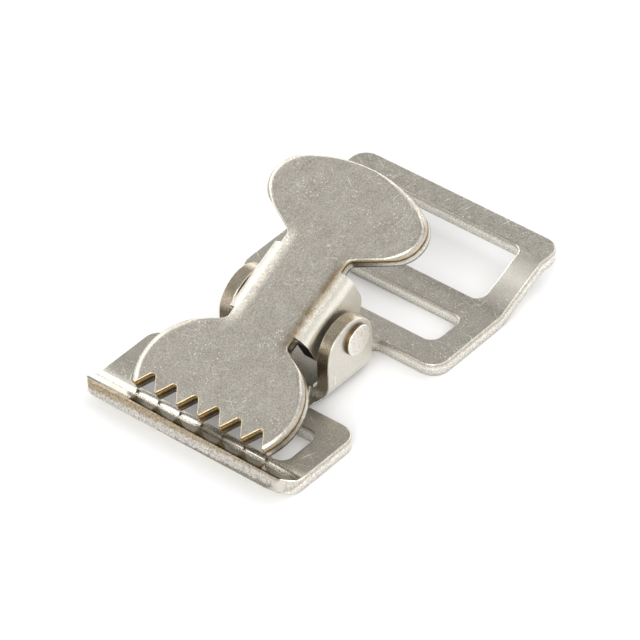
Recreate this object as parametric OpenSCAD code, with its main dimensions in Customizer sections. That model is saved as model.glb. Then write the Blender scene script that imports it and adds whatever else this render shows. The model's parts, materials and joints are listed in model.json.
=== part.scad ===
// Strap clamp buckle: a formed base frame, a toothed thumb lever, its rivet and its return spring.
// Millimetres. The origin is the middle of the underside, +Z is up and the teeth point to -X.

/* [Frame] */
// Thickness of the base sheet
base_t = 2; // [1.5:0.1:2.5]
// Width of the strap that the buckle takes
strap_w = 25; // [20:0.5:50]
// Play of the strap in its slots, at each side
strap_play = 0.7; // [0.3:0.1:2]
// Width of the side rails
rail_w = 3.8; // [3:0.1:6]
// Narrow rear slot, along the strap
narrow_slot = 6.4; // [4.5:0.1:12]
// Wide rear slot, along the strap
wide_slot = 9.1; // [6:0.1:20]
// Corner radius of the slots
slot_r = 1.6; // [0.8:0.1:2]
// Rail between the front slot and the neck
front_rail = 3.6; // [2.5:0.1:6]
// Rail between the neck and the narrow slot
shoulder_rail = 4.1; // [3:0.1:7]
// Width of the middle and rear strap bars
bar_w = 3.8; // [3:0.1:6]
// Outer corner radius of the frame
corner_r = 2.5; // [1.5:0.1:4]
// Outer corner radius at the lip
lip_corner_r = 3.2; // [1.5:0.1:4]

/* [Lip] */
// Length of the straight part of the upturned lip
lip_l = 2.6; // [1.5:0.1:5]
// Angle at which the lip is turned up
lip_angle = 31; // [10:1:45]
// Inside radius of the lip bend
lip_bend_r = 3; // [1:0.1:5]
// Distance of the teeth from the edge of the front slot
bite = 0.5; // [0.3:0.1:1.2]

/* [Rear step] */
// Height by which the rear bar is raised
step_rise = 3.7; // [2:0.1:6]
// Start of the rails' slope ahead of the wide slot
step_lead = 0.5; // [0:0.1:2]
// End of the rails' slope ahead of the rear bar
step_tail = 1; // [0:0.1:3]
// Inside radius of both rail bends
step_bend_r = 2.5; // [1:0.1:4]

/* [Ears] */
// Clear width between the two ears
ear_gap = 14.4; // [13.8:0.1:20]
// Inside radius where an ear is folded up
ear_bend_r = 1; // [0.5:0.1:2]
// Radius of the rounded top of an ear
ear_r = 4.6; // [4.2:0.1:5.5]
// Radius of the flare at the foot of an ear
ear_foot_r = 1.8; // [1:0.1:2]
// Top of the ear ahead of the pivot
ear_lead = 1.05; // [0:0.05:1.5]
// Centre of the ear's round top below the pivot
ear_drop = 1.25; // [0:0.05:1.5]
// Length of the neck ahead of the pivot
neck_front = 9; // [8.5:0.1:10.5]
// Length of the neck behind the pivot
neck_rear = 7.1; // [6.5:0.1:12]
// Radius of the inside corners at the neck
neck_r = 1.6; // [0.8:0.1:2]

/* [Pivot] */
// Height of the pivot over the underside
pivot_h = 7.75; // [7.2:0.05:10]
// Radius of the rivet shank
shank_r = 1.5; // [1:0.05:1.8]
// Radius of a rivet head
head_r = 2.25; // [2.1:0.05:2.6]
// Height of a rivet head
head_h = 0.6; // [0.4:0.05:1]
// Radius of the rim of a rivet head
head_rim_r = 0.25; // [0.1:0.05:0.35]
// Radial clearance of the lever on the shank
run_fit = 0.05; // [0.02:0.01:0.1]

/* [Lever] */
// Thickness of the lever sheet
lever_t = 2; // [1.5:0.1:2.2]
// Height of the lever's top face over the pivot, square to the lever
lever_h = 6; // [5.6:0.1:7]
// Distance from the pivot to the tooth tips, along the lever
jaw_l = 20.5; // [20.2:0.1:26]
// Distance from the pivot to the end of the thumb pad, along the lever
pad_l = 19.8; // [18.5:0.1:23]
// Play of the lever between the ears, at each side
side_play = 0.6; // [0.2:0.05:1]
// Length of the flanges along the lever
flange_l = 10.6; // [9:0.1:11]
// Depth of a flange below the pivot
flange_drop = 3.7; // [3.2:0.1:4.2]
// Length of the flat at the bottom of a flange
flange_foot = 3.5; // [2:0.1:5]
// Radius of the corners at the bottom of a flange
flange_knee_r = 2.6; // [1:0.1:3]
// Inside radius of the flange bends
flange_bend_r = 0.2; // [0.1:0.05:0.6]
// Radius of the four relief notches
relief_r = 1.1; // [0.8:0.1:1.2]
// Extra width of the waist over the flat between the flange bends
waist_ease = 0.5; // [0.2:0.1:0.6]

/* [Jaw and pad] */
// Greatest width of the jaw
jaw_w = 24.9; // [22:0.1:28]
// Radius of the rounded jaw sides
jaw_r = 8.1; // [7:0.1:8.4]
// Distance from the tooth tips back to the widest part of the jaw
jaw_back = 4.65; // [4:0.05:4.9]
// Number of teeth
teeth = 7; // [4:1:11]
// Straight run at the corners of the jaw, beside the outer teeth
jaw_flat = 0.3; // [0.1:0.1:1]
// Distance of the outer tooth tips from the corners of the jaw
tooth_edge = 0.23; // [0.1:0.01:0.6]
// Depth of the gaps between the teeth
tooth_l = 2.2; // [1.5:0.1:3]
// Width left on the end of each tooth
tip_flat = 0.25; // [0.15:0.05:0.6]
// Radius of the root between two teeth
root_r = 0.5; // [0.3:0.05:0.7]
// Greatest width of the thumb pad
pad_w = 24.8; // [22:0.1:26]
// Radius of the pad's rounded ends
pad_end_r = 4.2; // [3:0.1:5]
// Radius of the pad's rear edge
pad_rear_r = 22; // [18:0.5:40]
// Straight run between the pad's rear edge and its rounded ends
pad_flat = 0.4; // [0.2:0.1:2]

/* [Return spring] */
// Radius of the spring wire
wire_r = 0.45; // [0.3:0.05:0.6]
// Radial gap between the rivet and the coil
coil_play = 0.35; // [0.2:0.05:0.6]
// Whole turns of the coil
turns = 5; // [3:1:6]
// Gap between two turns of the coil
coil_gap = 0.12; // [0.05:0.01:0.3]
// Reach of the leg on the frame, behind the pivot
lower_leg = 4.4; // [3:0.1:5.5]
// Reach of the leg under the lever, behind the pivot
upper_leg = 5; // [3:0.1:5.5]

/* [Hidden] */
$fn = 96;
// overlap of two outlines that are joined
eps = 0.01;
// distance by which an outline clears a face that it leaves whole
clear = 0.05;
// gap left where two pieces rest on each other
seat = 0.03;
// height at which the flare of an ear runs out
foot_edge = 0.3;
// gap between the rivet and the ears that hold it
hold_fit = 0.02;
// reach of a corner piece past its corner, as a share of its depth
corner_tail = 0.3;
// excess of a corner's radius, so that its arc crosses the straight edges
arc_over = 0.0005;
// sides of the spring wire, and degrees of coil from one ring of points to the next
wire_n = 12;
ring_step = 15;

// frame widths, and a length that passes right through the part
slot_w = strap_w + 2 * strap_play;
frame_w = slot_w + 2 * rail_w;
through = 2 * frame_w;

// lever tilt at which the tooth tips rest on the front bar
tip_rise = lever_h - lever_t;
tip_reach = sqrt(jaw_l * jaw_l + tip_rise * tip_rise);
tilt = atan(tip_rise / jaw_l) + asin((pivot_h - base_t - seat) / tip_reach);

// stations along X, measured from the pivot
tip_x = -jaw_l * cos(tilt) - tip_rise * sin(tilt);
slot_a0 = tip_x + bite;
front_back = -neck_front;
slot_a1 = front_back - front_rail;
rear_front = neck_rear;
slot_b0 = rear_front + shoulder_rail;
slot_b1 = slot_b0 + narrow_slot;
slot_c0 = slot_b1 + bar_w;
slot_c1 = slot_c0 + wide_slot;
rear_end = slot_c1 + bar_w;
lip_x = tip_x;
lip_set = (lip_bend_r + base_t) * tan(lip_angle / 2);
lip_end = lip_x - lip_set - (lip_set + lip_l) * cos(lip_angle);
lip_rise = (lip_set + lip_l) * sin(lip_angle);
step_x0 = slot_c0 - step_lead;
step_x1 = slot_c1 - step_tail;
mid_x = (lip_end + rear_end) / 2;

// ears
ear_out = ear_gap / 2 + base_t;
ear_fold = ear_gap / 2 - ear_bend_r;
ear_top = pivot_h - ear_drop + ear_r;

// lever outline, measured from the pivot along the lever
flange_w = ear_gap - 2 * side_play;
fold_y = flange_w / 2 - flange_bend_r - lever_t;
waist = fold_y + waist_ease;
relief_x = flange_l / 2 + relief_r;
relief_y = waist + relief_r;
pad_end_y = pad_w / 2 - pad_end_r;
pad_rear = [pad_l - pad_rear_r, 0];
pad_far = norm([pad_rear_r - pad_end_r, pad_flat]);
pad_end = pad_rear + [sqrt(pad_far * pad_far - pad_end_y * pad_end_y), pad_end_y];
pad_fan = asin(pad_end_y / pad_far) - atan(pad_flat / (pad_rear_r - pad_end_r));
pad_line = cross_line([relief_x, relief_y], relief_r, pad_end, pad_end_r, 1);
jaw_mid = [jaw_back - jaw_l, jaw_w / 2 - jaw_r];
jaw_line = cross_line([-relief_x, relief_y], relief_r, jaw_mid, jaw_r, -1);
jaw_turn = acos(-jaw_back / norm([jaw_r, jaw_flat])) - atan(jaw_flat / jaw_r);
tip_half = jaw_mid.y + jaw_r * sin(jaw_turn) + jaw_flat * cos(jaw_turn);

// corners of the lever outline on the +Y side, from the pad to the teeth, as [x, y, radius]
lever_half = [
    meet(pad_end, pad_end_r, pad_fan, angle_of(pad_line[1] - pad_end)),
    meet([relief_x, relief_y], relief_r, angle_of(pad_line[0] - [relief_x, relief_y]), -90),
    meet([-relief_x, relief_y], relief_r, -90, angle_of(jaw_line[0] - [-relief_x, relief_y])),
    meet(jaw_mid, jaw_r, angle_of(jaw_line[1] - jaw_mid), jaw_turn),
    [-jaw_l, tip_half, 0]
];

// teeth
teeth_w = 2 * (tip_half - tooth_edge);
pitch = teeth_w / (teeth - 1);
mouth = (pitch - tip_flat) / 2;
root_x = tooth_l - root_r - jaw_l;
gap_far = norm([tooth_l - root_r, mouth]);
gap_turn = atan(mouth / (tooth_l - root_r)) - asin(root_r / gap_far);

// spring wire: angles at which the legs leave the coil, then its winding
coil_r = shank_r + coil_play + wire_r;
lower_end = [lower_leg, base_t + wire_r + seat - pivot_h];
upper_rise = lever_h - lever_t - wire_r - seat;
upper_end = [
    upper_leg * cos(tilt) - upper_rise * sin(tilt),
    upper_leg * sin(tilt) + upper_rise * cos(tilt)
];
lower_a = atan2(lower_end.y, lower_end.x) - acos(coil_r / norm(lower_end));
upper_a = atan2(upper_end.y, upper_end.x) + acos(coil_r / norm(upper_end));
winding = 360 * turns + 360 + lower_a - upper_a;
coil_l = (2 * wire_r + coil_gap) * winding / 360;
coil_n = ceil(winding / ring_step);
wire_last = coil_n + 2;

// straight line that passes between two circles, touching both
function cross_line(c1, r1, c2, r2, side) =
    let (d = c2 - c1, a = atan2(d.y, d.x) + side * asin(min(1, (r1 + r2) / norm(d))))
    [c1 + side * r1 * [sin(a), -cos(a)], c2 - side * r2 * [sin(a), -cos(a)]];

// corner where the tangents of a circle at two angles meet, as [x, y, radius]
function angle_of(v) = atan2(v.y, v.x);
function meet(c, r, a, b) =
    let (far = r / cos((b - a) / 2), m = (a + b) / 2)
    [c.x + far * cos(m), c.y + far * sin(m), r];

// wire centre, its outward direction from the pivot and its skin
function coil_turn(i) = lower_a - winding * min(max(i - 1, 0), coil_n) / coil_n;
function coil_y(i) = coil_l * (min(max(i - 1, 0), coil_n) / coil_n - 0.5);
function wire_mid(i) = i == 0 ? [lower_end.x, coil_y(i), lower_end.y]
    : i == wire_last ? [upper_end.x, coil_y(i), upper_end.y]
    : [coil_r * cos(coil_turn(i)), coil_y(i), coil_r * sin(coil_turn(i))];
function wire_point(i, k) = wire_mid(i) + wire_r * (
    cos(360 * k / wire_n) * [cos(coil_turn(i)), 0, sin(coil_turn(i))] + sin(360 * k / wire_n) * [0, 1, 0]);
function wire_face(i, k) = [
    i * wire_n + k, (i + 1) * wire_n + k,
    (i + 1) * wire_n + (k + 1) % wire_n, i * wire_n + (k + 1) % wire_n
];

function unit(v) = v / norm(v);
function pick(points, i) = points[(i + len(points)) % len(points)];
function spot(points, i) = [pick(points, i).x, pick(points, i).y];
function back_way(points, i) = unit(spot(points, i - 1) - spot(points, i));
function next_way(points, i) = unit(spot(points, i + 1) - spot(points, i));
function half_turn(points, i) = acos(back_way(points, i) * next_way(points, i)) / 2;
function reach(points, i) = pick(points, i).z / tan(half_turn(points, i));
function turns_left(points, i) = cross(-back_way(points, i), next_way(points, i)) > 0;
function corner_ends(points, i) = [
    spot(points, i) + back_way(points, i) * reach(points, i),
    spot(points, i) + next_way(points, i) * reach(points, i)
];
function corner_centre(points, i) = spot(points, i)
    + unit(back_way(points, i) + next_way(points, i)) * pick(points, i).z / sin(half_turn(points, i));

// upper side of a bent sheet of thickness t, and the radii on both sides
function way(path, i) = unit(spot(path, i + 1) - spot(path, i));
function aside(v) = [-v.y, v.x];
function way_in(path, i) = way(path, max(i - 1, 0));
function way_out(path, i) = way(path, min(i, len(path) - 2));
function upper(path, i, t) =
    let (m = aside(way_in(path, i)), n = aside(way_out(path, i)))
    spot(path, i) + t * (m + n) / (1 + m * n);
function bends_up(path, i) = cross(way_in(path, i), way_out(path, i)) > 0;
function lower_r(path, i, t) = path[i].z == 0 ? 0 : path[i].z + (bends_up(path, i) ? t : 0);
function upper_r(path, i, t) = path[i].z == 0 ? 0 : path[i].z + (bends_up(path, i) ? 0 : t);

// Piece between a sharp corner and the arc that rounds it
module corner(points, i) {
    ends = corner_ends(points, i);
    chord = (ends[0] + ends[1]) / 2;
    difference() {
        polygon([ends[0], spot(points, i) + corner_tail * (spot(points, i) - chord), ends[1]]);
        translate(corner_centre(points, i)) circle(pick(points, i).z + arc_over);
    }
}

// Flat outline with a radius on each corner, points given as [x, y, radius] going left round
module rounded(points) {
    last = len(points) - 1;
    difference() {
        union() {
            polygon([for (i = [0 : last]) spot(points, i)]);
            for (i = [0 : last])
                if (pick(points, i).z > 0 && !turns_left(points, i)) corner(points, i);
        }
        for (i = [0 : last])
            if (pick(points, i).z > 0 && turns_left(points, i)) corner(points, i);
    }
}

// Rectangle from x0 to x1, centred on Y
module strip(x0, x1, w, r) {
    rounded([[x0, -w / 2, r], [x1, -w / 2, r], [x1, w / 2, r], [x0, w / 2, r]]);
}

// Sheet seen from its edge, along a path of [x, y, inside radius] that is its lower side
module sheet(path, t) {
    last = len(path) - 1;
    rounded(concat(
        [for (i = [0 : last]) [path[i].x, path[i].y, lower_r(path, i, t)]],
        [for (i = [last : -1 : 0]) [upper(path, i, t).x, upper(path, i, t).y, upper_r(path, i, t)]]
    ));
}

// Side view of the base sheet: lip, flat part, sloping rails and raised rear bar
module base_side() {
    sheet([
        [lip_end, lip_rise, 0],
        [lip_x - lip_set, 0, lip_bend_r],
        [step_x0, 0, step_bend_r],
        [step_x1, step_rise, step_bend_r],
        [rear_end + bar_w, step_rise, 0]
    ], base_t);
}

// Plan of the base: two slotted frames joined by the neck
module base_plan() {
    half = frame_w / 2;
    neck = ear_fold - eps;
    front = lip_end - clear;
    difference() {
        rounded([
            [front, -half, lip_corner_r], [front_back, -half, corner_r], [front_back, -neck, neck_r],
            [rear_front, -neck, neck_r], [rear_front, -half, corner_r], [rear_end, -half, corner_r],
            [rear_end, half, corner_r], [rear_front, half, corner_r], [rear_front, neck, neck_r],
            [front_back, neck, neck_r], [front_back, half, corner_r], [front, half, lip_corner_r]
        ]);
        strip(slot_a0, slot_a1, slot_w, slot_r);
        strip(slot_b0, slot_b1, slot_w, slot_r);
        strip(slot_c0, slot_c1, slot_w, slot_r);
    }
}

// Side outline of an ear, flared at its foot
module ear_side() {
    translate([-ear_lead, pivot_h - ear_drop]) circle(ear_r);
    translate([-ear_lead - ear_r, 0]) square([2 * ear_r, pivot_h - ear_drop]);
    translate([-ear_lead, 0])
        difference() {
            translate([-ear_r - ear_foot_r, 0])
                square([2 * (ear_r + ear_foot_r), ear_foot_r + foot_edge]);
            for (side = [-1, 1])
                translate([side * (ear_r + ear_foot_r), ear_foot_r + foot_edge]) circle(ear_foot_r);
        }
}

// One ear with its bend, on the +Y side
module ear() {
    intersection() {
        rotate([90, 0, 90])
            linear_extrude(through, center = true)
                sheet([
                    [ear_fold - base_t, 0, 0],
                    [ear_out, 0, ear_bend_r],
                    [ear_out, ear_top + base_t, 0]
                ], base_t);
        rotate([90, 0, 0]) linear_extrude(through, center = true) ear_side();
    }
}

module base_frame() {
    color("#b9b5ac")
        translate([-mid_x, 0, 0])
            difference() {
                union() {
                    intersection() {
                        rotate([90, 0, 0]) linear_extrude(through, center = true) base_side();
                        linear_extrude(through, center = true) base_plan();
                    }
                    ear();
                    mirror([0, 1, 0]) ear();
                }
                translate([0, 0, pivot_h])
                    rotate([90, 0, 0]) cylinder(h = through, r = shank_r + hold_fit, center = true);
            }
}

// Flat rivet head with a rounded rim
module rivet_head() {
    rotate_extrude()
        rounded([[0, 0, 0], [head_r, 0, 0], [head_r, head_h, head_rim_r], [0, head_h, 0]]);
}

module pivot_rivet() {
    head_in = ear_out + seat;
    color("#cfccc4")
        translate([-mid_x, 0, pivot_h])
            rotate([90, 0, 0]) {
                cylinder(h = 2 * head_in + head_h, r = shank_r, center = true);
                for (side = [0, 1])
                    mirror([0, 0, side]) translate([0, 0, head_in]) rivet_head();
            }
}

// Gap between two teeth, open at the tips and round at the root
module tooth_gap() {
    rounded([
        [-jaw_l - clear, -mouth, 0], [-jaw_l, -mouth, 0], [root_x + root_r / sin(gap_turn), 0, root_r],
        [-jaw_l, mouth, 0], [-jaw_l - clear, mouth, 0]
    ]);
}

// Plan of the lever without its flanges
module lever_plan() {
    last = len(lever_half) - 1;
    difference() {
        rounded(concat(
            [meet(pad_rear, pad_rear_r, -pad_fan, pad_fan)],
            lever_half,
            [for (i = [last : -1 : 0]) [lever_half[i].x, -lever_half[i].y, lever_half[i].z]]
        ));
        for (side = [0, 1])
            mirror([0, side]) translate([-flange_l / 2, fold_y]) square([flange_l, flange_w]);
        for (k = [0 : teeth - 2]) translate([0, (k + 1 / 2) * pitch - teeth_w / 2]) tooth_gap();
    }
}

// Side outline of a flange, hung round the pivot
module flange_side() {
    half = flange_l / 2;
    foot = flange_foot / 2;
    rounded([
        [-half, lever_h, 0], [-half, 0, flange_knee_r], [-foot, -flange_drop, flange_knee_r],
        [foot, -flange_drop, flange_knee_r], [half, 0, flange_knee_r], [half, lever_h, 0]
    ]);
}

// One flange with its bend, on the +Y side
module flange() {
    intersection() {
        rotate([90, 0, 90])
            linear_extrude(through, center = true)
                sheet([
                    [fold_y - lever_t, lever_h - lever_t, 0],
                    [flange_w / 2 - lever_t, lever_h - lever_t, flange_bend_r],
                    [flange_w / 2 - lever_t, -flange_drop - lever_t, 0]
                ], lever_t);
        rotate([90, 0, 0]) linear_extrude(through, center = true) flange_side();
    }
}

module clamp_lever() {
    color("#c2bdb3")
        translate([-mid_x, 0, pivot_h])
            rotate([0, -tilt, 0])
                difference() {
                    union() {
                        translate([0, 0, lever_h - lever_t]) linear_extrude(lever_t) lever_plan();
                        flange();
                        mirror([0, 1, 0]) flange();
                    }
                    rotate([90, 0, 0]) cylinder(h = through, r = shank_r + run_fit, center = true);
                }
}

// Wire wound round the rivet, one leg on the frame and one under the lever
module return_spring() {
    color("#9c9a94")
        translate([-mid_x, 0, pivot_h])
            polyhedron(
                points = [for (i = [0 : wire_last]) for (k = [0 : wire_n - 1]) wire_point(i, k)],
                faces = concat(
                    [[for (k = [0 : wire_n - 1]) k]],
                    [for (i = [0 : wire_last - 1]) for (k = [0 : wire_n - 1]) wire_face(i, k)],
                    [[for (k = [wire_n - 1 : -1 : 0]) wire_last * wire_n + k]]
                )
            );
}

base_frame();
pivot_rivet();
clamp_lever();
return_spring();
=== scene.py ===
"""Looks of a strap clamp buckle: stamped stainless frame and lever, headed rivet and wire spring."""

import json
import math

import bmesh
import bpy
from mathutils import Matrix, Vector

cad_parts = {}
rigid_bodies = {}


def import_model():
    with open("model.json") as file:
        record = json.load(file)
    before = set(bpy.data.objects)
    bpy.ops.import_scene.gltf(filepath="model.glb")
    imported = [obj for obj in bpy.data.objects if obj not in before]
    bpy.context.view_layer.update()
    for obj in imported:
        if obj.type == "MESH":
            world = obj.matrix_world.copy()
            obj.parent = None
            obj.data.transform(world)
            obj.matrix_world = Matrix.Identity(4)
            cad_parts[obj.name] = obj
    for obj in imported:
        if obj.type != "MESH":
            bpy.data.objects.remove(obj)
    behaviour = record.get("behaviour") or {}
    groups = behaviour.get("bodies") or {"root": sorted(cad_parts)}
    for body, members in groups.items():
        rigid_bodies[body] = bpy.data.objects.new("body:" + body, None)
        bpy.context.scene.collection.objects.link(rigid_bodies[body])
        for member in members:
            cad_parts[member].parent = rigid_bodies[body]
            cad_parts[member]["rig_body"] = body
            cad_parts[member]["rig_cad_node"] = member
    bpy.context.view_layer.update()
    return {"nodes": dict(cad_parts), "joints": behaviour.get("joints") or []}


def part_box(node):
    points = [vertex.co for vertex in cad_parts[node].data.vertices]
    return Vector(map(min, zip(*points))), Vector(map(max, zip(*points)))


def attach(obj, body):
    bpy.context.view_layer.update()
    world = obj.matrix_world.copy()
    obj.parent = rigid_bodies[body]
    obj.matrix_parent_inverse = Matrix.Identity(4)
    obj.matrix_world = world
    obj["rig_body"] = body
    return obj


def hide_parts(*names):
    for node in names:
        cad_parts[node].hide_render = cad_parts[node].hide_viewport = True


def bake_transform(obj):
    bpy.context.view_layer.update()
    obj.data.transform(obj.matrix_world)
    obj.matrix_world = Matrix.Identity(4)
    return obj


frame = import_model()

bl_info = {
    "name": "Strap clamp buckle",
    "version": (1, 0, 0),
    "blender": (4, 5, 0),
    "location": "3D View > Sidebar > Buckle",
    "description": "Dresses the packed buckle with rolled edges, stainless finishes and a studio stage",
    "category": "Object",
}

MM = 0.001
PIVOT = Vector(frame["joints"][0]["pos_m"])


def lever_normal():
    """Normal of the lever's flat top, from the widest upward face of its solid."""
    faces = [f for f in frame["nodes"]["clamp_lever"].data.polygons if f.normal.z > 0]
    return max(faces, key=lambda f: f.area).normal.copy()


LEVER_UP = lever_normal()
LEVER_ALONG = Vector((LEVER_UP.z, 0, -LEVER_UP.x))
BOX = {name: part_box(name) for name in frame["nodes"]}
FRONT = BOX["base_frame"][0][0]

# Edges within this radius of the pivot belong to the rivet holes and stay sharp
HOLE_REACH = 1.8 * MM
# Small distance that counts as lying on a face
TOUCH = 0.02 * MM
# Copies of the solids: merging distance, bend that counts as flat, bend that counts as an edge
MERGE_DISTANCE, FLAT_ANGLE, SHARP_ANGLE = 0.0005 * MM, math.radians(0.4), math.radians(30)
ROLL_SEGMENTS = 4
# Shares of a direction in a face's normal, which tell a cut edge from the sheet
STEEP, EDGEWISE, SQUARE, TOOTH_FACE = 0.6, 0.5, 0.4, 0.9

# Frame: depth of the lip's cut end, the share of the roll there, and the lip, ears and neck
LIP_END = 1.6 * MM
LIP_ROLL = 0.4
LIP_ANGLE = math.radians(31)
EAR_INSIDE, EAR_OUTSIDE = 7.1 * MM, 9.3 * MM
EAR_HALF, EAR_FOOT = 6.5 * MM, 2.4 * MM
NECK_HALF = 6.0 * MM

# Lever, along it from the pivot and up from the pivot, square to its flat top
FLANGE_TOP = 3.0 * MM
FLANGE_INSIDE = 4.3 * MM
WAIST_HALF = 6.0 * MM
TEETH_HALF = 11.0 * MM
# Shares of the roll on the lever's edges, and where the rim's full roll begins
FLANGE_ROLL, UNDER_ROLL, TOOTH_ROLL, RIM_LEAST = 0.25, 0.16, 0.4, 0.15
RIM_START, RIM_FULL = 6.4 * MM, 11.0 * MM
# Distances from the tooth roots: start and end of the rim's easing, the roll and the cut faces
JAW_START, JAW_END = 1.8 * MM, 1.5 * MM
TOOTH_ROLL_BACK, TOOTH_CUT_BACK = 0.6 * MM, 0.4 * MM

# Zones of the frame that the dies rubbed, along it: start, strongest place, end, and the share
# of roughness left there. They are also painted paler, as a painted highlight. The lip's zone
# ends off the part, so that it runs on to the front.
RAMP_RUB_AND_SHEEN = (16.5 * MM, 21.5 * MM, 25.5 * MM, 0.7)
LIP_RUB_AND_SHEEN = (-24.0 * MM, -26.2 * MM, -60.0 * MM, 0.35)
# Bend of the lip: start, end and rise. Step of the rails: start, end and rise.
LIP_CURVE = (-22.5 * MM, -26.5 * MM, 0.45 * MM)
RAIL_STEP = (16.2 * MM, 24.8 * MM, 3.7 * MM)
# Lean of the torn band along the lip's end
TORN_LEAN = Vector((0, 0.03, 0))

# Folds of the lever: start and end from the middle plane, drop, and half length with its fade
FOLD_START, FOLD_END, FOLD_DROP = 3.0 * MM, 6.2 * MM, 0.6 * MM
FOLD_HALF, FOLD_FADE = 9.0 * MM, 0.6
# Golden brown band beside the near fold: half width of its full tone and of its end, and its strength
FOLD_BAND_FULL, FOLD_BAND_END, FOLD_BAND_SHARE = 0.1 * MM, 1.0 * MM, 0.75
# Drawn-down rims of the lever: width, reach past the edge and drop in widths
RIM_WIDTH, RIM_OVER, RIM_DROP = 1.0 * MM, 0.5, 0.55
# Arcs of the lever's outline that are drawn down: centre along and aside, radius, and the
# stretches over which the rim comes in, on the axis that is named
RIMS = (
    ((-15.85 * MM, 4.35 * MM), 8.1 * MM, (("along", -8.0 * MM, -10.0 * MM), ("aside", 7.2 * MM, 10.0 * MM))),
    ((13.6 * MM, 8.2 * MM), 4.2 * MM, (("along", 8.0 * MM, 10.0 * MM), ("aside", 9.5 * MM, 11.1 * MM))),
    ((-2.2 * MM, 0.0), 22.0 * MM, (("along", 10.0 * MM, 14.0 * MM), ("across", -1.0 * MM, -6.0 * MM))),
)

# Noise seldom leaves this range, or the second one where only its darker part counts
NOISE = (0.3, 0.7)
NOISE_LOW = (0.3, 0.6)
# Tumbled sheet: speckle, swing of roughness with its range of grain, and strength of the dents
SPECKLE = (0.72, 1.26)
ROUGH_GRAIN, ROUGH_LESS, ROUGH_MORE = (0.25, 0.75), 0.06, 0.08
DENT_STRENGTH = 0.4
# Nicks fade out between these shares of their spacing and gather where the wear lies in its range
NICK_FADE, WEAR = (0.1, 0.25), (0.46, 0.64)
# Scratches: turns of their directions, range of noise over which they come in, and strength
SCRATCH_TURNS, SCRATCH, SCRATCH_SHARE = (0.25, -0.6, 1.3), (0.715, 0.785), 0.75
# Faces turned to the side are painted paler, a painted highlight: share of the side in their normal,
# and share of the pale tone
SIDE, SIDE_SHARE = (0.4, 0.9), 0.55
# Strength of the painted highlight in the rubbed zones and of the golden brown band beside the
# near fold, on one kind of cloud and on the other
SHEEN_PATCHY, FOLD_BAND_PATCHY = (0.8, 1.0), (0.4, 1.0)
# Share of the dents left in a rubbed zone
RUB_DENTS = 0.25

# Cut edges, from the underside of the sheet up
FRAME_BANDS = ((0.0, "#857E72"), (0.12, "#C9C4BA"), (0.6, "#E8E5DE"), (0.85, "#BAB3A7"), (1.0, "#CFCAC0"))
FRONT_BANDS = (
    (0.0, "#827C73"), (0.1, "#B0ACA5"), (0.45, "#B5B0A8"), (0.62, "#968975"), (0.78, "#9C907B"),
    (0.9, "#8E7A5E"), (1.0, "#B0A48E"))
EAR_BANDS = ((0.0, "#9C917F"), (0.5, "#B0A591"), (1.0, "#9C917F"))
# Lever: the near-black band at 0.64 is a painted reflection, the burnished band mirroring dark surroundings
LEVER_BANDS_DARK_REFLECTION = (
    (0.0, "#4E463B"), (0.1, "#857D70"), (0.25, "#DEDAD1"), (0.55, "#B9B1A4"), (0.64, "#332A1F"),
    (0.72, "#6A5637"), (0.8, "#BFA26A"), (0.88, "#BDB19B"), (1.0, "#CFC6B6"))
# Teeth: the bands follow the sheared edge, but the bright straw gold is a painted highlight of the rolled
# top edge and the dark browns are painted reflection of the shaded front bar below
TOOTH_TINT_GLINT_AND_SHADE = (
    (0.0, "#3C342A"), (0.2, "#A09684"), (0.4, "#6E604C"), (0.52, "#4A3B28"), (0.64, "#A98A56"),
    (0.76, "#F0D9A6"), (0.88, "#8E754C"), (1.0, "#C2AF8C"))
# Height over which the ears' bands run: far more than the ears' own, so that their tone hardly changes
EAR_SPAN = 50.0 * MM
# Torn end of the lip: size of its grit and waver of its bands
TORN_COARSE, TORN_RAGGED = 0.22 * MM, 0.08
# Length of the bands' waves, grit, roughness of the smooth and the torn band, and the grit's relief
EDGE_WAVE, EDGE_GRIT = 0.6 * MM, (0.6, 1.4)
TORN_RANGE, EDGE_ROUGH = (0.45, 0.6), (0.28, 0.45)
GRIT_STRENGTH, GRIT_DEPTH = 0.5, 0.03 * MM
# Round a corner of the front end the torn bands turn into the burnished tone
CORNER, CORNER_TONE = (0.1, 0.65), "#D2CDC3"

# Headed and drawn steel: size and shade of its grain, swing of roughness, and relief
STEEL_GRAIN, STEEL_SHADE = 0.3 * MM, (0.88, 1.08)
STEEL_LESS, STEEL_MORE = 0.05, 0.07
STEEL_STRENGTH, STEEL_DEPTH = 0.25, 0.02 * MM
# Spring: bend between facets that is shaded smooth, and wire sizes that a leg takes at its end of the coil
WIRE_ANGLE, LEG_ROOM = math.radians(50), 1.05

# Stage: brightness of the sky by height, and bright patches as direction, start, full and gain
SKY = ((0.0, 0.75), (0.3, 0.62), (0.5, 0.37), (0.64, 0.2), (0.87, 0.355), (1.0, 0.28))
GLOWS = (
    ((0.05, 0.97, 0.2), 0.62, 0.96, 2.8),
    ((0.96, 0.2, 0.1), 0.8, 0.97, 2.2),
    ((0.66, -0.14, 0.74), 0.88, 0.96, 4.0),
)
SKY_STRENGTH, SEEN_GREY = 2.0, (0.5, 0.5, 0.5, 1)
# Soft boxes: name, place, size in metres and power in watts
LAMPS = (("front_box", (-1.0, -0.45, 0.75), 0.9, 13.0), ("side_box", (0.05, -0.75, 0.88), 0.45, 1.4))
FLOOR_SIZE, FLOOR_ROUGHNESS = 6.0, 0.9
SENSOR_WIDTH, NEAR_CLIP = 36.0, 0.01


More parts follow.
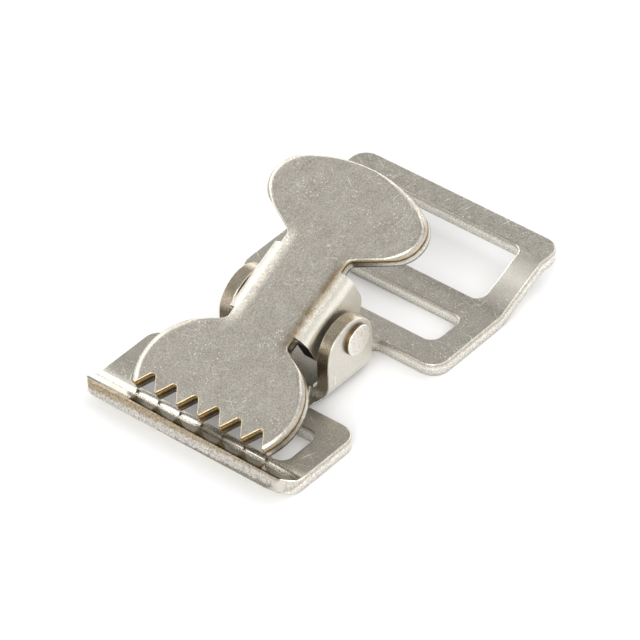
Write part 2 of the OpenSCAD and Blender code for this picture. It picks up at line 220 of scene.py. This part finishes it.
class BuckleSizes(bpy.types.PropertyGroup):
    """Widths of the worked edges."""

    lever_roll: bpy.props.FloatProperty(
        name="Lever edge roll", description="Width of the rolled rim round the lever's top",
        default=0.5 * MM, unit="LENGTH", precision=5)
    frame_roll: bpy.props.FloatProperty(
        name="Frame edge roll", description="Width of the rolled rim on the frame's edges",
        default=0.24 * MM, unit="LENGTH", precision=5)
    sheet: bpy.props.FloatProperty(
        name="Sheet", description="Thickness of the sheet of the frame and the lever",
        default=2.0 * MM, unit="LENGTH", precision=5)
    lever_top: bpy.props.FloatProperty(
        name="Lever top", description="Height of the lever's top face over the pivot, square to the lever",
        default=6.0 * MM, unit="LENGTH", precision=5)
    flange_half: bpy.props.FloatProperty(
        name="Flange half length", description="Half the length of the lever's flanges",
        default=5.3 * MM, unit="LENGTH", precision=5)
    tooth_root: bpy.props.FloatProperty(
        name="Tooth roots", description="Distance from the pivot to the tooth roots, along the lever",
        default=18.3 * MM, unit="LENGTH", precision=5)


class BuckleFinish(bpy.types.PropertyGroup):
    """Colours and grain of the metal."""

    lever_pale: bpy.props.StringProperty(
        name="Lever sheet, pale", description="Lighter tone of the lever's sheet", default="#C3BEB3")
    lever_deep: bpy.props.StringProperty(
        name="Lever sheet, deep", description="Darker tone of the lever's sheet", default="#B2ACA0")
    frame_pale: bpy.props.StringProperty(
        name="Frame sheet, pale", description="Lighter tone of the frame's sheet", default="#ADA99F")
    frame_deep: bpy.props.StringProperty(
        name="Frame sheet, deep", description="Darker tone of the frame's sheet", default="#9E998E")
    nick_tone: bpy.props.StringProperty(
        name="Nicks, tone", description="Bright tone of a fresh nick", default="#FBF8F2")
    scratch_tone: bpy.props.StringProperty(
        name="Scratches, tone", description="Bright tone of a scratch", default="#F4F0E8")
    # Painted highlight: pale tone painted on faces turned to the side
    side_painted_highlight: bpy.props.StringProperty(
        name="Painted highlight on sides", description="Pale tone painted on the faces folded to the side, a painted highlight", default="#F6F2E8")
    # Painted highlight: pale tone painted on the rubbed ramps and lip
    painted_sheen_tone: bpy.props.StringProperty(
        name="Painted sheen where rubbed", description="Pale tone painted where a die rubbed the sheet, a painted highlight", default="#FFFAEE")
    fold_band_tone: bpy.props.StringProperty(
        name="Fold band", description="Golden brown band beside the near fold", default="#80683C")
    rivet_tone: bpy.props.StringProperty(
        name="Rivet", description="Tone of the headed rivet", default="#E8E4DC")
    # Painted shade: dark tone on the rims of the rivet's heads, for the shadowed gap under each head
    rivet_rim_painted_shade: bpy.props.StringProperty(
        name="Painted shade on rivet rim", description="Dark tone painted on the rims of the rivet's heads, a painted shade", default="#6B5A42")
    wire_tone: bpy.props.StringProperty(
        name="Spring wire", description="Tone of the drawn spring wire", default="#A8A49C")
    roughness: bpy.props.FloatProperty(
        name="Roughness", description="Mean roughness of the tumbled sheet",
        default=0.34, min=0, max=1, subtype="FACTOR")
    steel_roughness: bpy.props.FloatProperty(
        name="Steel roughness", description="Mean roughness of the rivet's heads and the wire",
        default=0.3, min=0, max=1, subtype="FACTOR")
    rim_roughness: bpy.props.FloatProperty(
        name="Rim roughness", description="Mean roughness of the rims of the rivet's heads",
        default=0.4, min=0, max=1, subtype="FACTOR")
    wire: bpy.props.FloatProperty(
        name="Spring wire size", description="Diameter of the spring wire",
        default=0.9 * MM, unit="LENGTH", precision=5)
    nicks: bpy.props.FloatProperty(
        name="Nicks", description="Strength of the small bright nicks",
        default=1.0, min=0, max=1, subtype="FACTOR")
    grain: bpy.props.FloatProperty(
        name="Grain", description="Size of the tumbling dents",
        default=0.2 * MM, unit="LENGTH", precision=5)
    dent: bpy.props.FloatProperty(
        name="Dent depth", description="Depth of the tumbling dents",
        default=0.02 * MM, unit="LENGTH", precision=5)
    cloud: bpy.props.FloatProperty(
        name="Clouds", description="Size of the cloudy tones",
        default=2.0 * MM, unit="LENGTH", precision=5)
    nick_gap: bpy.props.FloatProperty(
        name="Nick spacing", description="Spacing of the nicks",
        default=0.45 * MM, unit="LENGTH", precision=5)
    wear_patch: bpy.props.FloatProperty(
        name="Wear patches", description="Size of the patches where nicks gather",
        default=3.0 * MM, unit="LENGTH", precision=5)
    scratch_wide: bpy.props.FloatProperty(
        name="Scratch width", description="Width of the noise that makes the scratches",
        default=0.13 * MM, unit="LENGTH", precision=5)
    scratch_long: bpy.props.FloatProperty(
        name="Scratch length", description="Length of the noise that makes the scratches",
        default=3.6 * MM, unit="LENGTH", precision=5)


class BuckleStage(bpy.types.PropertyGroup):
    """Camera and light."""

    azimuth: bpy.props.FloatProperty(
        name="Camera azimuth", description="Turn of the camera round the buckle",
        default=math.radians(-50.838), subtype="ANGLE")
    elevation: bpy.props.FloatProperty(
        name="Camera elevation", description="Height angle of the camera",
        default=math.radians(39.544), subtype="ANGLE")
    roll: bpy.props.FloatProperty(
        name="Camera roll", description="Roll of the camera", default=math.radians(-0.259), subtype="ANGLE")
    distance: bpy.props.FloatProperty(
        name="Camera distance", description="Distance from the camera to its target",
        default=686.0 * MM, unit="LENGTH", precision=5)
    lens: bpy.props.FloatProperty(
        name="Lens", description="Focal length on a 36 mm sensor, in millimetres", default=295.7)
    target: bpy.props.FloatVectorProperty(
        name="Camera target", description="Point at the middle of the picture",
        default=(-2.065 * MM, -1.098 * MM, 5.0 * MM), size=3, subtype="TRANSLATION", precision=5)
    floor_tone: bpy.props.StringProperty(name="Floor", description="Tone of the floor", default="#E6E6E6")


def linear(code):
    """Linear RGBA of an sRGB hex code."""
    shares = [int(code[i:i + 2], 16) / 255 for i in (1, 3, 5)]
    return [s / 12.92 if s <= 0.04045 else ((s + 0.055) / 1.055) ** 2.4 for s in shares] + [1.0]


def node(tree, kind, inputs=(), out=None, **settings):
    """Adds a shader node with its settings, and sets or links its inputs: by name, or in the order
    of those in use. Gives back the output that is named, or else the first one in use."""
    made = tree.nodes.new("ShaderNode" + kind)
    for name, value in settings.items():
        setattr(made, name, value)
    in_use = [socket for socket in made.inputs if socket.enabled]
    for key, value in inputs.items() if isinstance(inputs, dict) else enumerate(inputs):
        socket = made.inputs[key] if isinstance(key, str) else in_use[key]
        if isinstance(value, bpy.types.NodeSocket):
            tree.links.new(value, socket)
        else:
            socket.default_value = value
    return made.outputs[out] if out else next((s for s in made.outputs if s.enabled), None)


def new_material(name):
    """Empty material and its node tree."""
    material = bpy.data.materials.new(name)
    material.use_nodes = True
    material.node_tree.nodes.clear()
    return material, material.node_tree


def close_material(tree, inputs):
    """Puts the shader with these inputs on the material's surface."""
    node(tree, "OutputMaterial", {"Surface": node(tree, "BsdfPrincipled", inputs)})


def set_ramp(output, steps):
    """Sets the steps of a colour ramp, as places and linear colours in order, by way of its output."""
    elements = output.node.color_ramp.elements
    for element, (place, colour) in zip(elements, (steps[0], steps[-1])):
        element.position = place
        element.color = colour
    for place, colour in steps[1:-1]:
        elements.new(place).color = colour


def side_share(tree):
    """How far a face is turned to the side of the buckle, from 0 to 1."""
    normal = node(tree, "TexCoord", out="Normal")
    return node(tree, "Math", (node(tree, "SeparateXYZ", (normal,), "Y"),), operation="ABSOLUTE")


def sheet_noise(tree, finish):
    """Place on a sheet, its cloudy tone and its fine grain."""
    place = node(tree, "TexCoord", out="Object")
    clouds = node(tree, "TexNoise", {
        "Vector": place, "Scale": 1 / finish.cloud, "Detail": 4.0, "Roughness": 0.65})
    grain = node(tree, "TexNoise", {
        "Vector": place, "Scale": 1 / finish.grain, "Detail": 2.0, "Roughness": 0.6})
    return place, clouds, grain


def tumbled_tone(tree, finish, place, clouds, grain, pale, deep):
    """Colour of stainless sheet, stamped and barrel tumbled: warm grey with a fine speckle, cloudy
    tone a few millimetres across, small bright nicks in patches and a few scratches. Faces that
    are folded to the side are painted paler, as a painted highlight."""
    cloudy = node(tree, "MapRange", (clouds, *NOISE, 0.0, 1.0))
    tone = node(tree, "Mix", (cloudy, linear(pale), linear(deep)), data_type="RGBA")
    speckle = node(tree, "MapRange", (grain, *NOISE, *SPECKLE))
    tone = node(tree, "VectorMath", (tone, speckle), operation="SCALE")
    spots = node(tree, "TexVoronoi", {"Vector": place, "Scale": 1 / finish.nick_gap})
    spots = node(tree, "MapRange", (spots, *NICK_FADE, finish.nicks, 0.0))
    wear = node(tree, "TexNoise", {"Vector": place, "Scale": 1 / finish.wear_patch, "Detail": 2.0})
    wear = node(tree, "MapRange", (wear, *WEAR, 0.0, 1.0))
    struck = node(tree, "Math", (spots, wear), operation="MULTIPLY")
    tone = node(tree, "Mix", (struck, tone, linear(finish.nick_tone)), data_type="RGBA")
    for turn in SCRATCH_TURNS:
        drawn = node(tree, "Mapping", {
            "Vector": place, "Rotation": (0, 0, turn),
            "Scale": (finish.scratch_wide, finish.scratch_long, finish.scratch_long)},
            vector_type="TEXTURE")
        scratch = node(tree, "TexNoise", {"Vector": drawn, "Scale": 1.0, "Detail": 1.0})
        scratch = node(tree, "MapRange", (scratch, *SCRATCH, 0.0, SCRATCH_SHARE))
        tone = node(tree, "Mix", (scratch, tone, linear(finish.scratch_tone)), data_type="RGBA")
    # Painted highlight: faces turned to the side are painted paler
    sides = node(tree, "MapRange", (side_share(tree), *SIDE, 0.0, SIDE_SHARE))
    return node(tree, "Mix", (sides, tone, linear(finish.side_painted_highlight)), data_type="RGBA")


def tumbled_rough(tree, finish, grain):
    """Roughness of tumbled sheet, a satin that swings with the grain."""
    low, high = finish.roughness - ROUGH_LESS, finish.roughness + ROUGH_MORE
    return node(tree, "MapRange", (grain, *ROUGH_GRAIN, low, high))


def tumbled_frame(finish):
    """Stamped and tumbled stainless of the frame. Where the forming dies rubbed the ramps and the
    lip, it is shinier and less dented, and it is painted paler there as a painted highlight. The lip's bend
    starts softly."""
    material, tree = new_material("tumbled_stainless_frame")
    place, clouds, grain = sheet_noise(tree, finish)
    tone = tumbled_tone(tree, finish, place, clouds, grain, finish.frame_pale, finish.frame_deep)
    rough = tumbled_rough(tree, finish, grain)
    dents = DENT_STRENGTH
    along = node(tree, "SeparateXYZ", (place,), "X")
    for start, full, end, gloss in (RAMP_RUB_AND_SHEEN, LIP_RUB_AND_SHEEN):
        rise = node(tree, "MapRange", (along, start, full, 0.0, 1.0))
        fall = node(tree, "MapRange", (along, full, end, 1.0, 0.0))
        share = node(tree, "Math", (rise, fall), operation="MULTIPLY")
        patchy = node(tree, "MapRange", (clouds, *NOISE_LOW, *SHEEN_PATCHY))
        patchy = node(tree, "Math", (share, patchy), operation="MULTIPLY")
        # Painted highlight: the rubbed zones are painted paler; their roughness and dents below are real
        tone = node(tree, "Mix", (patchy, tone, linear(finish.painted_sheen_tone)), data_type="RGBA")
        shine = node(tree, "MapRange", (share, 0.0, 1.0, 1.0, gloss))
        rough = node(tree, "Math", (rough, shine), operation="MULTIPLY")
        calm = node(tree, "MapRange", (share, 0.0, 1.0, 1.0, RUB_DENTS))
        dents = node(tree, "Math", (dents, calm), operation="MULTIPLY")
    start, end, rise = LIP_CURVE
    bend = node(tree, "MapRange", (along, start, end, 0.0, 1.0))
    bend = node(tree, "Math", (bend, 2.0), operation="POWER")
    normal = node(tree, "Bump", {"Height": bend, "Strength": 1.0, "Distance": rise})
    normal = node(tree, "Bump", {
        "Height": grain, "Strength": dents, "Distance": finish.dent, "Normal": normal})
    close_material(tree, {"Metallic": 1.0, "Base Color": tone, "Roughness": rough, "Normal": normal})
    return material


def lever_axes(tree, place):
    """Place on the lever: along it from the pivot, across it, and aside from its middle plane."""
    along = node(tree, "VectorMath", (place, LEVER_ALONG), operation="DOT_PRODUCT")
    along = node(tree, "Math", (along, PIVOT.dot(LEVER_ALONG)), operation="SUBTRACT")
    across = node(tree, "SeparateXYZ", (place,), "Y")
    aside = node(tree, "Math", (across,), operation="ABSOLUTE")
    return {"along": along, "across": across, "aside": aside}


def lever_relief(tree, axes, near):
    """Relief of the lever's top: it sinks a little beside its folds, and its rims are drawn down."""
    drop = node(tree, "MapRange", (axes["aside"], FOLD_START, FOLD_END, 0.0, -1.0),
                interpolation_type="SMOOTHSTEP")
    sunk = node(tree, "Math", (drop, near), operation="MULTIPLY")
    relief = node(tree, "Bump", {"Height": sunk, "Strength": 1.0, "Distance": FOLD_DROP})
    spot = node(tree, "CombineXYZ", (axes["along"], axes["aside"]))
    for centre, radius, fades in RIMS:
        gap = node(tree, "VectorMath", (spot, (*centre, 0)), operation="DISTANCE")
        inner, outer = radius - RIM_WIDTH, radius + RIM_OVER * RIM_WIDTH
        fall = node(tree, "MapRange", (gap, inner, outer, 0.0, 1.0 + RIM_OVER))
        fall = node(tree, "Math", (fall, 2.0), operation="POWER")
        for axis, start, end in fades:
            share = node(tree, "MapRange", (axes[axis], start, end, 0.0, 1.0))
            fall = node(tree, "Math", (fall, share), operation="MULTIPLY")
        relief = node(tree, "Bump", {
            "Height": fall, "Strength": 1.0, "Distance": RIM_DROP * RIM_WIDTH, "Normal": relief},
            invert=True)
    return relief


def near_fold_band(tree, axes, near, clouds):
    """Share of the golden brown band along the near fold, in patches."""
    off = node(tree, "Math", (axes["across"], 0.5 * (FOLD_START + FOLD_END)), operation="ADD")
    off = node(tree, "Math", (off,), operation="ABSOLUTE")
    share = node(tree, "MapRange", (off, FOLD_BAND_FULL, FOLD_BAND_END, FOLD_BAND_SHARE, 0.0))
    share = node(tree, "Math", (share, near), operation="MULTIPLY")
    patchy = node(tree, "MapRange", (clouds, *NOISE_LOW, *FOLD_BAND_PATCHY))
    return node(tree, "Math", (share, patchy), operation="MULTIPLY")


def tumbled_lever(finish):
    """Stamped and tumbled stainless of the lever. Beside a fold it is drawn down a little, and
    beside the near fold only it takes a thin golden brown band. Round the blank's ends the shear has
    drawn the rim down, so it catches a broad light."""
    material, tree = new_material("tumbled_stainless_lever")
    place, clouds, grain = sheet_noise(tree, finish)
    tone = tumbled_tone(tree, finish, place, clouds, grain, finish.lever_pale, finish.lever_deep)
    axes = lever_axes(tree, place)
    away = node(tree, "Math", (axes["along"],), operation="ABSOLUTE")
    near = node(tree, "MapRange", (away, FOLD_FADE * FOLD_HALF, FOLD_HALF, 1.0, 0.0),
                interpolation_type="SMOOTHSTEP")
    band_share = near_fold_band(tree, axes, near, clouds)
    tone = node(tree, "Mix", (band_share, tone, linear(finish.fold_band_tone)), data_type="RGBA")
    normal = node(tree, "Bump", {
        "Height": grain, "Strength": DENT_STRENGTH, "Distance": finish.dent,
        "Normal": lever_relief(tree, axes, near)})
    close_material(tree, {
        "Metallic": 1.0, "Base Color": tone, "Roughness": tumbled_rough(tree, finish, grain),
        "Normal": normal})
    return material


def cut_edge(name, up, foot, thickness, bands, step=None, coarse=0.14 * MM, ragged=0.035, corner_tone=None):
    """Sheared edge of stainless sheet: a smooth burnished band where the punch entered,
    a rough torn band that looks golden to brown, and dark lines between them. On the lever the
    burnished band's near-black tone is a painted reflection, and on the teeth the bright gold is a
    painted highlight."""
    material, tree = new_material(name)
    place = node(tree, "TexCoord", out="Object")
    height = node(tree, "VectorMath", (place, up / thickness), operation="DOT_PRODUCT")
    waver = node(tree, "TexNoise", {"Vector": place, "Scale": 1 / EDGE_WAVE, "Detail": 4.0})
    base = foot / thickness
    waver = node(tree, "MapRange", (waver, *NOISE, -ragged - base, ragged - base))
    height = node(tree, "Math", (height, waver), operation="ADD")
    if step:
        start, end, rise = step
        along = node(tree, "SeparateXYZ", (place,), "X")
        lift = node(tree, "MapRange", (along, start, end, 0.0, rise / thickness))
        height = node(tree, "Math", (height, lift), operation="SUBTRACT")
    tone = node(tree, "ValToRGB", (height,))
    set_ramp(tone, [(level, linear(code)) for level, code in bands])
    grit = node(tree, "TexNoise", {"Vector": place, "Scale": 1 / coarse, "Detail": 2.0})
    shade = node(tree, "MapRange", (grit, *NOISE, *EDGE_GRIT))
    tone = node(tree, "VectorMath", (tone, shade), operation="SCALE")
    if corner_tone:
        turned = node(tree, "MapRange", (side_share(tree), *CORNER, 0.0, 1.0))
        tone = node(tree, "Mix", (turned, tone, linear(corner_tone)), data_type="RGBA")
    rough = node(tree, "MapRange", (height, *TORN_RANGE, *EDGE_ROUGH))
    normal = node(tree, "Bump", {"Height": grit, "Strength": GRIT_STRENGTH, "Distance": GRIT_DEPTH})
    close_material(tree, {"Metallic": 1.0, "Base Color": tone, "Roughness": rough, "Normal": normal})
    return material


def headed_steel(name, code, roughness):
    """Drawn steel, headed or wound: smoother and brighter than the sheet, with a fine grain."""
    material, tree = new_material(name)
    place = node(tree, "TexCoord", out="Object")
    grain = node(tree, "TexNoise", {"Vector": place, "Scale": 1 / STEEL_GRAIN, "Detail": 3.0})
    shade = node(tree, "MapRange", (grain, *NOISE, *STEEL_SHADE))
    tone = node(tree, "VectorMath", (linear(code)[:3], shade), operation="SCALE")
    rough = node(tree, "MapRange", (grain, *NOISE, roughness - STEEL_LESS, roughness + STEEL_MORE))
    normal = node(tree, "Bump", {"Height": grain, "Strength": STEEL_STRENGTH, "Distance": STEEL_DEPTH})
    close_material(tree, {"Metallic": 1.0, "Base Color": tone, "Roughness": rough, "Normal": normal})
    return material


def copy_node(name, piece_name):
    """Merged copy of a CAD node, free of its body, as the start of a dressed piece."""
    bpy.ops.object.select_all(action="DESELECT")
    source = frame["nodes"][name]
    source.select_set(True)
    bpy.context.view_layer.objects.active = source
    bpy.ops.object.duplicate()
    piece = bpy.context.object
    bpy.ops.object.parent_clear(type="CLEAR_KEEP_TRANSFORM")
    piece.name = piece_name
    piece.data.name = piece_name
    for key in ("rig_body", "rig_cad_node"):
        del piece[key]
    bpy.ops.object.mode_set(mode="EDIT")
    bpy.ops.mesh.select_all(action="SELECT")
    bpy.ops.mesh.customdata_custom_splitnormals_clear()
    bpy.ops.mesh.remove_doubles(threshold=MERGE_DISTANCE)
    bpy.ops.mesh.dissolve_limited(angle_limit=FLAT_ANGLE)
    bpy.ops.object.mode_set(mode="OBJECT")
    return piece


def weigh_edges(piece, weight):
    """Sets each sharp edge's share of the roll from a function of its middle."""
    mesh = bmesh.new()
    mesh.from_mesh(piece.data)
    layer = mesh.edges.layers.float.new("bevel_weight_edge")
    for edge in mesh.edges:
        if len(edge.link_faces) == 2 and edge.calc_face_angle() > SHARP_ANGLE:
            edge[layer] = weight((edge.verts[0].co + edge.verts[1].co) / 2)
    mesh.to_mesh(piece.data)
    mesh.free()


def roll_edges(piece, width):
    """Rolls the weighted edges and applies the result."""
    bpy.context.view_layer.objects.active = piece
    bevel = piece.modifiers.new("roll", "BEVEL")
    bevel.limit_method = "WEIGHT"
    bevel.width = width
    bevel.segments = ROLL_SEGMENTS
    bevel.use_clamp_overlap = False
    bevel.miter_outer = "MITER_SHARP"
    bpy.ops.object.modifier_apply(modifier="roll")


def smooth(piece, angle=math.radians(40)):
    """Smooth shading that keeps flat faces flat."""
    bpy.ops.object.select_all(action="DESELECT")
    piece.select_set(True)
    bpy.context.view_layer.objects.active = piece
    bpy.ops.object.shade_smooth_by_angle(angle=angle)
    even = piece.modifiers.new("even", "WEIGHTED_NORMAL")
    even.keep_sharp = True
    bpy.ops.object.modifier_apply(modifier="even")


def paint(piece, materials, choose):
    """Gives each face the material that choose names for its middle and normal."""
    piece.data.materials.clear()
    for material in materials:
        piece.data.materials.append(material)
    for face in piece.data.polygons:
        face.material_index = choose(face.center, face.normal)


def seat(piece, name, body):
    """Puts a dressed piece in the place of its CAD node."""
    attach(piece, body)
    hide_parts(name)


class BUCKLE_OT_frame(bpy.types.Operator):
    """Dress the slotted base frame with rolled edges and cut faces"""

    bl_idname = "buckle.frame"
    bl_label = "Base frame"

    def execute(self, context):
        sizes, finish = context.scene.buckle_sizes, context.scene.buckle_finish
        piece = copy_node("base_frame", "frame_sheet")

        def weight(spot):
            if math.hypot(spot.x - PIVOT.x, spot.z - PIVOT.z) < HOLE_REACH and spot.z > sizes.sheet:
                return 0.0
            return LIP_ROLL if spot.x < FRONT + LIP_END else 1.0

        weigh_edges(piece, weight)
        roll_edges(piece, sizes.frame_roll)
        smooth(piece)
        upright = Vector((0, 0, 1))
        lip_up = Vector((math.sin(LIP_ANGLE), 0, math.cos(LIP_ANGLE)))
        lip_foot = min((v.co for v in piece.data.vertices), key=lambda co: co.x)
        sheet, edge, torn, ear = range(4)

        def choose(spot, normal):
            off = abs(spot.x - PIVOT.x)
            if spot.x < FRONT + LIP_END and normal.x < -STEEP:
                return torn
            if spot.z > EAR_FOOT and off < EAR_HALF and EAR_INSIDE < abs(spot.y) < EAR_OUTSIDE:
                return ear if abs(normal.y) < EDGEWISE else sheet
            return edge if abs(normal.z) < STEEP and off > NECK_HALF else sheet

        paint(piece, [
            tumbled_frame(finish),
            cut_edge("cut_edge_frame", upright, 0.0, sizes.sheet, FRAME_BANDS, RAIL_STEP),
            cut_edge("torn_edge_front", lip_up + TORN_LEAN, lip_up.dot(lip_foot), sizes.sheet, FRONT_BANDS,
                     coarse=TORN_COARSE, ragged=TORN_RAGGED, corner_tone=CORNER_TONE),
            cut_edge("cut_edge_ears", upright, 0.0, EAR_SPAN, EAR_BANDS),
        ], choose)
        seat(piece, "base_frame", "base")
        return {"FINISHED"}


class BUCKLE_OT_lever(bpy.types.Operator):
    """Dress the toothed lever with its rolled rim and cut faces"""

    bl_idname = "buckle.lever"
    bl_label = "Clamp lever"

    def execute(self, context):
        sizes, finish = context.scene.buckle_sizes, context.scene.buckle_finish
        piece = copy_node("clamp_lever", "lever_sheet")
        low = sizes.lever_top - sizes.sheet

        def own(spot):
            return (spot - PIVOT).dot(LEVER_ALONG), (spot - PIVOT).dot(LEVER_UP)

        def ease(value, start, end):
            return min(max((value - start) / (end - start), 0.0), 1.0)

        def weight(spot):
            along, up = own(spot)
            if math.hypot(along, up) < HOLE_REACH:
                return 0.0
            if up < FLANGE_TOP:
                return FLANGE_ROLL
            if abs(along) < WAIST_HALF:
                return 0.0
            if abs(up - sizes.lever_top) > TOUCH:
                return UNDER_ROLL
            if along < TOOTH_ROLL_BACK - sizes.tooth_root and abs(spot.y) < TEETH_HALF:
                return TOOTH_ROLL
            plate = RIM_LEAST + (1 - RIM_LEAST) * ease(abs(along), RIM_START, RIM_FULL)
            jaw = ease(-along, sizes.tooth_root - JAW_START, sizes.tooth_root + JAW_END)
            return plate * (1 - jaw) + TOOTH_ROLL * jaw

        weigh_edges(piece, weight)
        roll_edges(piece, sizes.lever_roll)
        smooth(piece)
        sheet, edge, tooth = range(3)

        def choose(spot, normal):
            along, up = own(spot)
            facing_up = normal.dot(LEVER_UP)
            if abs(along) < sizes.flange_half + TOUCH and abs(spot.y) > FLANGE_INSIDE:
                return edge if abs(normal.y) < SQUARE and abs(facing_up) < EDGEWISE else sheet
            if along < TOOTH_CUT_BACK - sizes.tooth_root and abs(spot.y) < TEETH_HALF:
                return tooth if -EDGEWISE < facing_up < TOOTH_FACE else sheet
            return edge if abs(facing_up) < SQUARE and up > low - TOUCH else sheet

        foot = PIVOT.dot(LEVER_UP) + low
        paint(piece, [
            tumbled_lever(finish),
            cut_edge("cut_edge_lever", LEVER_UP, foot, sizes.sheet, LEVER_BANDS_DARK_REFLECTION),
            cut_edge("cut_edge_teeth", LEVER_UP, foot, sizes.sheet, TOOTH_TINT_GLINT_AND_SHADE),
        ], choose)
        seat(piece, "clamp_lever", "lever")
        return {"FINISHED"}


class BUCKLE_OT_rivet(bpy.types.Operator):
    """Dress the headed rivet"""

    bl_idname = "buckle.rivet"
    bl_label = "Pivot rivet"

    def execute(self, context):
        finish = context.scene.buckle_finish
        piece = copy_node("pivot_rivet", "rivet")
        smooth(piece)
        paint(piece, [
            headed_steel("headed_steel_rivet", finish.rivet_tone, finish.steel_roughness),
            # The heads' rims take a dark tone: painted shade of the gap under the head
            headed_steel("headed_steel_rivet_rim", finish.rivet_rim_painted_shade, finish.rim_roughness),
        ], lambda spot, normal: 0 if abs(normal.y) > EDGEWISE else 1)
        seat(piece, "pivot_rivet", "base")
        return {"FINISHED"}


class BUCKLE_OT_spring(bpy.types.Operator):
    """Dress the wound return spring"""

    bl_idname = "buckle.spring"
    bl_label = "Return spring"

    def execute(self, context):
        finish = context.scene.buckle_finish
        piece = copy_node("return_spring", "spring_coil")
        smooth(piece, WIRE_ANGLE)
        paint(piece, [headed_steel("drawn_steel_wire", finish.wire_tone, finish.steel_roughness)],
              lambda spot, normal: 0)
        low, high = BOX["return_spring"]
        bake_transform(piece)
        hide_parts("return_spring")
        return {"FINISHED"}


def lay_floor(context, code):
    """Plain pale floor, painted and matt so that it takes soft shadows without a shine."""
    bpy.ops.object.select_all(action="DESELECT")
    bpy.ops.mesh.primitive_plane_add(size=FLOOR_SIZE, location=(0, 0, 0))
    floor = context.object
    floor.name = "studio_floor"
    material, tree = new_material("painted_floor")
    close_material(tree, {"Metallic": 0.0, "Roughness": FLOOR_ROUGHNESS, "Base Color": linear(code)})
    floor.data.materials.append(material)


def light_sky(scene):
    """Studio round the buckle: bright low down, dark half way up, with three bright patches.
    The camera itself sees plain white behind the floor."""
    world = bpy.data.worlds.new("studio")
    scene.world = world
    world.use_nodes = True
    tree = world.node_tree
    tree.nodes.clear()
    way = node(tree, "TexCoord", out="Generated")
    lit = node(tree, "ValToRGB", (node(tree, "SeparateXYZ", (way,), "Z"),))
    set_ramp(lit, [(height, (share, share, share, 1)) for height, share in SKY])
    for aim, start, full, gain in GLOWS:
        side = node(tree, "VectorMath", (way, Vector(aim).normalized()), operation="DOT_PRODUCT")
        glow = node(tree, "MapRange", (side, start, full, 1.0, gain), interpolation_type="SMOOTHSTEP")
        lit = node(tree, "VectorMath", (lit, glow), operation="SCALE")
    seen = node(tree, "LightPath", out="Is Camera Ray")
    lit = node(tree, "Mix", (seen, lit, SEEN_GREY), data_type="RGBA")
    sky = node(tree, "Background", {"Color": lit, "Strength": SKY_STRENGTH})
    node(tree, "OutputWorld", {"Surface": sky})


def hang_lamps(context):
    """Soft boxes, each turned to the buckle."""
    for name, place, size, power in LAMPS:
        bpy.ops.object.light_add(type="AREA", location=place)
        lamp = context.object
        lamp.name = name
        lamp.data.size = size
        lamp.data.energy = power
        lamp.rotation_euler = (-Vector(place)).to_track_quat("-Z", "Y").to_euler()


def set_camera(context, stage):
    """Camera of the photograph, placed by its turn, height angle, roll and distance."""
    bpy.ops.object.camera_add()
    camera = context.object
    camera.name = "photo_camera"
    camera.data.sensor_width = SENSOR_WIDTH
    camera.data.lens = stage.lens
    camera.data.clip_start = NEAR_CLIP
    turn, rise = stage.azimuth, stage.elevation
    back = Vector((math.sin(turn) * math.cos(rise), -math.cos(turn) * math.cos(rise), math.sin(rise)))
    level = Vector((math.cos(turn), math.sin(turn), 0))
    top = back.cross(level)
    right = level * math.cos(stage.roll) + top * math.sin(stage.roll)
    up = top * math.cos(stage.roll) - level * math.sin(stage.roll)
    pose = Matrix((right, up, back)).transposed().to_4x4()
    pose.translation = Vector(stage.target) + back * stage.distance
    camera.matrix_world = pose
    context.scene.camera = camera


class BUCKLE_OT_stage(bpy.types.Operator):
    """Set the floor, the lights and the camera"""

    bl_idname = "buckle.stage"
    bl_label = "Stage"

    def execute(self, context):
        scene, stage = context.scene, context.scene.buckle_stage
        scene.view_settings.view_transform = "Standard"
        lay_floor(context, stage.floor_tone)
        light_sky(scene)
        hang_lamps(context)
        set_camera(context, stage)
        return {"FINISHED"}


class BUCKLE_PT_panel(bpy.types.Panel):
    """Buttons and settings of the buckle"""

    bl_label = "Buckle"
    bl_idname = "BUCKLE_PT_panel"
    bl_space_type = "VIEW_3D"
    bl_region_type = "UI"
    bl_category = "Buckle"

    def draw(self, context):
        for operator in OPERATORS:
            self.layout.operator(operator.bl_idname)
        for key, group in GROUPS.items():
            for name in group.__annotations__:
                self.layout.prop(getattr(context.scene, key), name)


GROUPS = {"buckle_sizes": BuckleSizes, "buckle_finish": BuckleFinish, "buckle_stage": BuckleStage}
OPERATORS = (BUCKLE_OT_stage, BUCKLE_OT_frame, BUCKLE_OT_lever, BUCKLE_OT_rivet, BUCKLE_OT_spring)


def register():
    """Adds the classes and the settings."""
    for kind in (*GROUPS.values(), *OPERATORS, BUCKLE_PT_panel):
        bpy.utils.register_class(kind)
    for key, group in GROUPS.items():
        setattr(bpy.types.Scene, key, bpy.props.PointerProperty(type=group))


def unregister():
    """Takes the settings and the classes out again."""
    for key in GROUPS:
        delattr(bpy.types.Scene, key)
    for kind in reversed((*GROUPS.values(), *OPERATORS, BUCKLE_PT_panel)):
        bpy.utils.unregister_class(kind)


def main():
    """Builds the scene."""
    register()
    bpy.ops.buckle.stage()
    bpy.ops.buckle.frame()
    bpy.ops.buckle.lever()
    bpy.ops.buckle.rivet()
    bpy.ops.buckle.spring()


if __name__ == "__main__":
    main()
